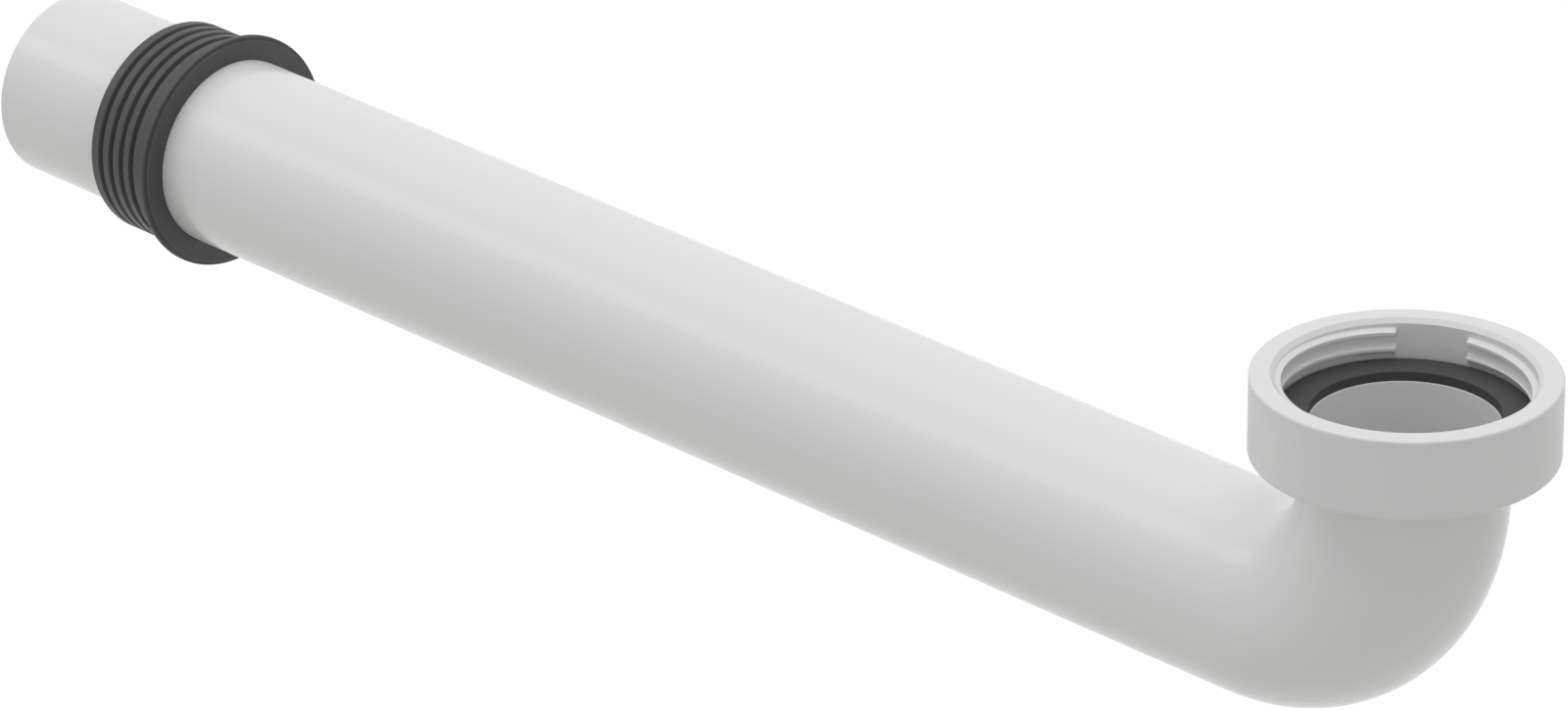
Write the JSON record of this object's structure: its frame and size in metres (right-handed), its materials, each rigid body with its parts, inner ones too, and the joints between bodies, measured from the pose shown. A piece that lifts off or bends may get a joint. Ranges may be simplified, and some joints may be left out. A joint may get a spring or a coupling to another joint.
{
  "type": "basin waste pipe",
  "caption": "Bent plastic waste pipe with a captive union nut and sealing washer at the inlet and a ribbed rubber wall collar that slides on the long arm.",
  "frame": {"origin": "centre of the sealing washer's upper face, on the axis of the union nut, where the mating tail seats", "axes": "+Z out of the nut's mouth, towards the part that the nut is screwed on; -X along the arm, towards the open end"},
  "size_m": [0.4092, 0.0584, 0.0819],
  "materials": {
    "pipe_plastic": "glossy white polypropylene",
    "nut_plastic": "semi-gloss white polypropylene",
    "washer_rubber": "matt dark grey rubber",
    "collar_rubber": "satin dark grey rubber"
  },
  "bodies": {
    "pipe": {"waste_pipe": "pipe_plastic", "sealing_washer": "washer_rubber"},
    "nut": {"union_nut": "nut_plastic"},
    "collar": {"rubber_collar": "collar_rubber"}
  },
  "joints": [
    {"name": "nut_spin", "type": "hinge", "parent": "pipe", "child": "nut", "pos_m": [0, 0, 0], "axis": [0, 0, 1], "continuous": true},
    {"name": "collar_slide", "type": "slide", "parent": "pipe", "child": "collar", "axis": [1, 0, 0], "range_m": [-0.032, 0.294]}
  ]
}
